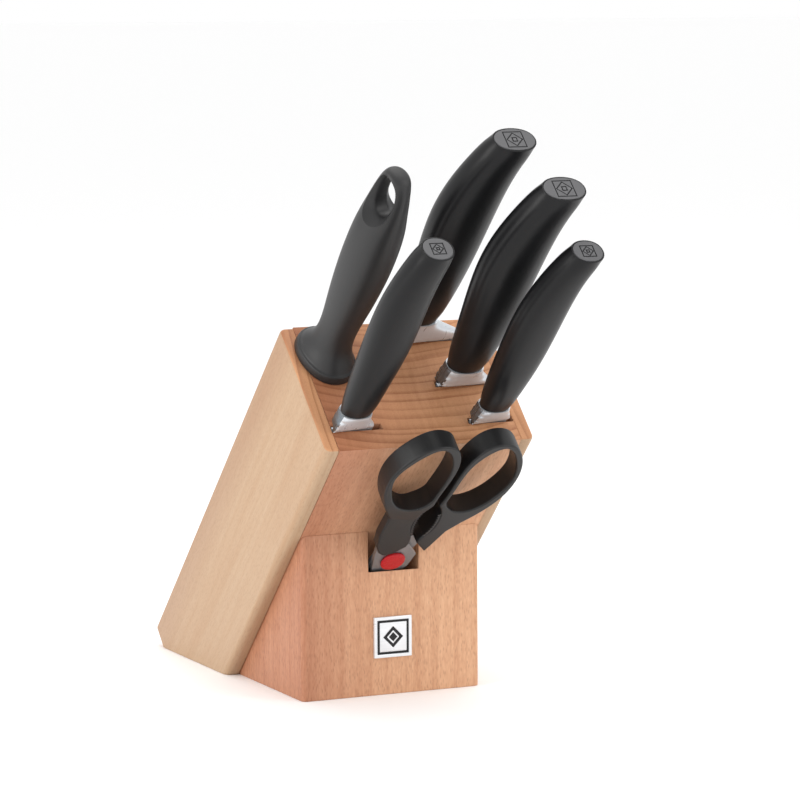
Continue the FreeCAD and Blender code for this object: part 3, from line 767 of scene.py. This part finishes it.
def make_blade(knife):
    node = knife + "_blade"
    grip_low, _ = span(knife + "_handle")
    low, _ = span(node)
    foot = TOP + BOLSTER_FOOT
    rings, thins = [], []
    for share in BOLSTER_SHARES:
        middle, half = section(node, grip_low - 0.05 * MM + (foot - grip_low) * share)
        if share == 0.0:
            half = section(knife + "_handle", grip_low + 0.1 * MM)[1]
        rings.append((middle, half / blend(BOLSTER_SHRINK, share)))
        thins.append(1.0 - (1.0 - EDGE_SHARE) * share)
    start = foot - 0.04 * MM
    for i in range(BLADE_RINGS):
        height = start + (low + 0.3 * MM - start) * (i / (BLADE_RINGS - 1)) ** 0.8
        middle, half = section(node, min(height, TOP - 0.4 * MM))
        rings.append((Vector((middle.x, middle.y, height)), Vector((half.x, SPINE_THICKNESS / 2, 0.0))))
        thins.append(EDGE_THICKNESS / SPINE_THICKNESS)
    blade = pull(knife + "_forged_blade", rings)
    edit(blade)
    for (middle, half), thin in zip(rings, thins):
        pick(blade, "VERT", lambda at: at.x > middle.x and abs(at.z - middle.z) < 0.015 * MM)
        bpy.ops.transform.resize(value=(1.0, thin, 1.0), center_override=middle)
    rest()
    rims = [rings[0][0].z, foot, start, rings[-1][0].z]
    for (upper, _), (lower, _), share in zip(rings, rings[1:len(BOLSTER_SHARES)], BOLSTER_SHARES[1:]):
        crease(
            blade, lambda a, b: along(a, b) and abs((a.z + b.z - upper.z - lower.z) / 2) < 0.02 * MM,
            blend(BOLSTER_CREASES, share),
        )
    crease(blade, lambda a, b: along(a, b) and min(a.z, b.z) < start - 1 * MM, 1.0)
    crease(blade, lambda a, b: not along(a, b) and min(abs(a.z - rim) for rim in rims) < 0.015 * MM, 1.0)
    subdivide(blade, 4)
    blade.data.materials.append(blade_steel)
    # The spine facet above the wood is painted darker: painted shade.
    paint(blade, shaded_spine_steel, lambda at, facing: facing.x < -0.75 and at.z > foot)
    return settle(blade, blade_steel, node, angle=42.0)


for knife in KNIVES:
    blade = make_blade(knife)
    print(blade.name, len(blade.data.polygons), "faces")

# %% [markdown]
# The honing steel's grip swells from a wide guard to a rounded top with a hole for a hook. The hole is cut with
# a spool, narrow in the middle and flared at both ends, so that the eye gets wide, smooth lips in one cut. The
# grip is turned about its rod, so it is built straight and turned at the end.

# %% Honing steel grip
STEEL_TURN = math.radians(15.0)
rod_points = corners("steel_rod")
ROD_AXIS = Vector((
    float(rod_points[:, 0].min() + rod_points[:, 0].max()) / 2,
    float(rod_points[:, 1].min() + rod_points[:, 1].max()) / 2,
    0.0,
))
STRAIGHTEN = Matrix.Rotation(-STEEL_TURN, 4, "Z") @ Matrix.Translation(-ROD_AXIS) @ STAND
TURN_BACK = STRAIGHTEN.inverted()
GUARD_EDGE = 5.0 * MM
EYE_HEIGHT = 114.8 * MM
# heights of the grip's rings over the block's top
GRIP_HEIGHTS = (7.0, 11.0, 16.0, 26.0, 45.0, 68.0, 86.0, 97.0, 106.0, 114.0, 121.0, 127.0)
# (distance from the grip's middle, half length, half width)
EYE_SPOOL = [(0.0, 11.4, 5.4), (3.0, 11.6, 5.8), (5.2, 12.8, 8.4), (8.0, 14.8, 11.6), (14.0, 18.0, 16.0)]


def make_spool(middle):
    """The tool that cuts the eye, lying along x."""
    profile = [(-out, long, wide) for out, long, wide in reversed(EYE_SPOOL[1:])] + EYE_SPOOL
    rings = [
        (Vector((0, 0, out * MM)), Vector((long, wide, 0)) * MM / OVAL_SHRINK) for out, long, wide in profile
    ]
    spool = pull("eye_spool", rings)
    crease(spool, along, LIGHT_CREASE)
    subdivide(spool, 4)
    spool.data.transform(Matrix.Translation(middle) @ Matrix.Rotation(math.radians(90.0), 4, "Y"))
    return spool


def make_steel_grip():
    node = "steel_handle"
    low, high = span(node, STRAIGHTEN)
    heights = [low + 0.1 * MM, TOP + GUARD_EDGE - 0.2 * MM]
    heights += [TOP + height * MM for height in GRIP_HEIGHTS] + [high - 0.3 * MM]
    rings = []
    for height in heights:
        middle, half = section(node, height, STRAIGHTEN)
        rings.append((middle, half / ROUND_SHRINK))
    foot, skirt = rings[0], rings[1]
    rise = Vector((0, 0, 0.5 * MM))
    rings = [
        (foot[0], shrunk(foot[1], 2 * MM)), (foot[0], shrunk(foot[1], 0.4 * MM)), (foot[0] + rise, foot[1]),
        (skirt[0] - rise, skirt[1]), (skirt[0], shrunk(skirt[1], 0.4 * MM)),
        (skirt[0] + rise * 0.4, shrunk(skirt[1], 1.4 * MM)), *rings[2:],
    ]
    grip = pull("honing_steel_grip", rings)
    subdivide(grip, 4)
    eye_middle, _ = section(node, TOP + EYE_HEIGHT, STRAIGHTEN)
    cut_away(grip, make_spool(eye_middle))
    return settle(grip, grip_plastic, node, matrix=TURN_BACK, angle=26.0)


steel_grip = make_steel_grip()
print(steel_grip.name, len(steel_grip.data.polygons), "faces")

# %% [markdown]
# A honing steel is ribbed along its length. A cylinder with many sides becomes ribbed when every second edge is
# drawn in a little. Its tip is rounded by a few rings.

# %% Honing steel rod
RIBS = 40
RIB_DEPTH = 0.28 * MM
TIP_STEPS = ((0.35, 0.93), (0.35, 0.82), (0.30, 0.45))    # share of the tip's length, and narrowing


def make_rod():
    low, _ = span("steel_rod")
    radius = section("steel_rod", low + 60 * MM)[1].x
    top = TOP + 0.1 * MM
    tip = radius * 0.9
    bpy.ops.mesh.primitive_cylinder_add(
        vertices=2 * RIBS, radius=radius, depth=top - low - tip,
        location=(ROD_AXIS.x, ROD_AXIS.y, (top + low + tip) / 2),
    )
    rod = bpy.context.object
    rod.name = "honing_steel_rod"
    bpy.ops.object.transform_apply(location=True, rotation=False, scale=False)
    edit(rod)
    step = math.pi / RIBS

    def is_groove(at):
        turn = math.atan2(at.y - ROD_AXIS.y, at.x - ROD_AXIS.x) / step
        return round(turn) % 2 == 0

    pick(rod, "VERT", is_groove)
    inward = (radius - RIB_DEPTH) / radius
    bpy.ops.transform.resize(value=(inward, inward, 1.0), center_override=(ROD_AXIS.x, ROD_AXIS.y, 0.0))
    pick(rod, "FACE", lambda at, facing: facing.z < -0.9)
    for sink, share in TIP_STEPS:
        bpy.ops.mesh.extrude_region_move(TRANSFORM_OT_translate={"value": (0, 0, -tip * sink)})
        bpy.ops.transform.resize(
            value=(share, share, 1.0), center_override=(ROD_AXIS.x, ROD_AXIS.y, 0.0),
        )
    rest()
    return settle(rod, rod_steel, "steel_rod", angle=20.0)


steel_rod = make_rod()
print(steel_rod.name, len(steel_rod.data.polygons), "faces")

# %% [markdown]
# The shears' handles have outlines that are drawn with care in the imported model, so a copy of each is taken. Its
# loose triangles are merged, flat faces are dissolved into one, and then the rims of the loops are bevelled, as
# a mould has to be. The jaws between the handles get their teeth from a row of small wedges.

# %% Shears handles
SHEARS_BEVEL = 0.9 * MM
SHEARS_TILT = math.radians(8.5)
JAW_PITCH = 1.7 * MM
JAW_TEETH = 10
JAW_LOW = 24.0 * MM
TOOTH_SIZE = 1.2 * MM
# Each jaw's edge: distance from the shears' middle line where it is widest, height of that, and its hollowness,
# then the middle and the length of its teeth from front to back
JAWS = {
    "shears_front_handle": (-3.9 * MM, 34.0 * MM, 22.0, -1.65 * MM, 5.3 * MM),
    "shears_rear_handle": (6.6 * MM, 32.5 * MM, -22.0, -0.15 * MM, 11.1 * MM),
}
pivot_joint = next(joint for joint in frame["joints"] if joint["name"] == "shears_open")
PIVOT = STAND @ Vector(pivot_joint["pos_m"])
SET_TILT = Matrix.Translation(PIVOT) @ Matrix.Rotation(SHEARS_TILT, 4, "Y")


def copy_of(node, name):
    """A merged copy of a CAD node, stood upright."""
    piece = bpy.data.objects.new(name, frame["nodes"][node].data.copy())
    bpy.context.scene.collection.objects.link(piece)
    piece.data.transform(STAND)
    piece.data.materials.clear()
    for attribute in [a for a in piece.data.attributes if a.name == "custom_normal"]:
        piece.data.attributes.remove(attribute)
    edit(piece)
    bpy.ops.mesh.select_all(action="SELECT")
    bpy.ops.mesh.remove_doubles(threshold=0.002 * MM)
    bpy.ops.mesh.dissolve_limited(angle_limit=math.radians(0.6))
    bpy.ops.mesh.normals_make_consistent(inside=False)
    rest()
    return piece


def soften(piece, width, segments=3, angle=45.0):
    modify(
        piece, "BEVEL", width=width, segments=segments, limit_method="ANGLE",
        angle_limit=math.radians(angle), use_clamp_overlap=False,
    )


def make_teeth(widest, middle, hollow, centre, length):
    """A row of three-sided wedges that stand half out of one jaw's edge."""
    row = None
    for i in range(JAW_TEETH):
        height = JAW_LOW + i * JAW_PITCH
        place = (widest + hollow * (height - middle) ** 2, centre, height)
        if row is not None:
            edit(row)
        bpy.ops.mesh.primitive_cylinder_add(
            vertices=3, radius=TOOTH_SIZE, depth=length, location=place,
            rotation=(math.radians(90.0), math.radians(-90.0 if widest > 0 else 90.0), 0.0),
        )
        row = bpy.context.object
        rest()
    row.data.transform(row.matrix_world)
    row.matrix_world = Matrix.Identity(4)
    row.data.transform(SET_TILT)
    return row


for node, name in (("shears_front_handle", "shears_left_grip"), ("shears_rear_handle", "shears_right_grip")):
    grip = copy_of(node, name)
    soften(grip, SHEARS_BEVEL)
    teeth = make_teeth(*JAWS[node])
    only(grip)
    teeth.select_set(True)
    bpy.ops.object.join()
    settle(grip, shears_plastic, node, angle=48.0)
    modify(grip, "WEIGHTED_NORMAL", keep_sharp=True, weight=80)
    print(grip.name, len(grip.data.polygons), "faces")

# %% [markdown]
# The shears' blades, the badge, the panels and the wedge are plain shapes whose edges are eased, because no real
# edge is perfectly sharp and it is the eased edge that catches the light. Each is a softened copy of its node.

# %% Pieces with eased edges
EASED = [
    ("shears_front_blade", "shears_front_steel", shears_steel, 0.3 * MM),
    ("shears_rear_blade", "shears_rear_steel", shears_steel, 0.3 * MM),
    ("badge_plate", "badge_eased_plate", badge_metal, 0.3 * MM),
    ("side_panel_left", "left_panel_eased", panel_beech, 0.6 * MM),
    ("side_panel_right", "right_panel_eased", panel_beech, 0.6 * MM),
    ("front_support", "support_wedge_eased", wedge_beech, 0.5 * MM),
]
for node, name, material, width in EASED:
    piece = copy_of(node, name)
    soften(piece, width, 2, 35.0)
    settle(piece, material, node, angle=20.0)
    print(piece.name, len(piece.data.polygons), "faces")

# %% [markdown]
# The red button over the pivot is a low dome with a rolled rim. It is pulled upwards like the grips and then laid
# on its back, so that it faces forward.

# %% Red button
# (share of the thickness, share of the radius)
BUTTON_RINGS = ((0.0, 0.9), (0.0, 0.985), (0.25, 1.0), (0.62, 0.99), (0.86, 0.90), (0.96, 0.66), (1.0, 0.3))


def make_button():
    node = "shears_screw_cap"
    points = corners(node)
    low, high = points.min(0), points.max(0)
    radius = float(high[0] - low[0]) / 2 / ROUND_SHRINK
    thick = float(high[1] - low[1])
    rings = [
        (Vector((0, 0, thick * rise)), Vector((radius, radius, 0)) * share)
        for rise, share in BUTTON_RINGS
    ]
    button = pull("shears_red_button", rings)
    subdivide(button)
    middle = Vector((float(low[0] + high[0]) / 2, float(high[1]), float(low[2] + high[2]) / 2))
    button.data.transform(Matrix.Translation(middle) @ Matrix.Rotation(math.radians(90.0), 4, "X"))
    return settle(button, red_plastic, node)


button = make_button()
print(button.name, len(button.data.polygons), "faces")

# %% [markdown]
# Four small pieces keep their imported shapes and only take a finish: the dark inlay of the badge, and the screw,
# washer and nut of the shears' pivot.

# %% Finishes by node
FINISH_OF = {
    "badge_inlay": badge_enamel, "shears_pivot_screw": fastener_steel,
    "shears_washer": fastener_steel, "shears_nut": fastener_steel,
}
for node, material in FINISH_OF.items():
    dress(node, material)
print(len(FINISH_OF), "nodes dressed")

# %% [markdown]
# The floor is plain paper, almost white, with a faint unevenness.

# %% The studio floor's finish
floor_finish = Finish("studio_floor", Specular_IOR_Level=0.1)
paper = floor_finish.noise(floor_finish.here(), 40.0, 3.0)
floor.data.materials.append(floor_finish.wear(
    floor_finish.mix(paper, (0.98, 0.98, 0.98, 1.0), (0.995, 0.995, 0.995, 1.0)),
    0.8 + 0.1 * paper,
))
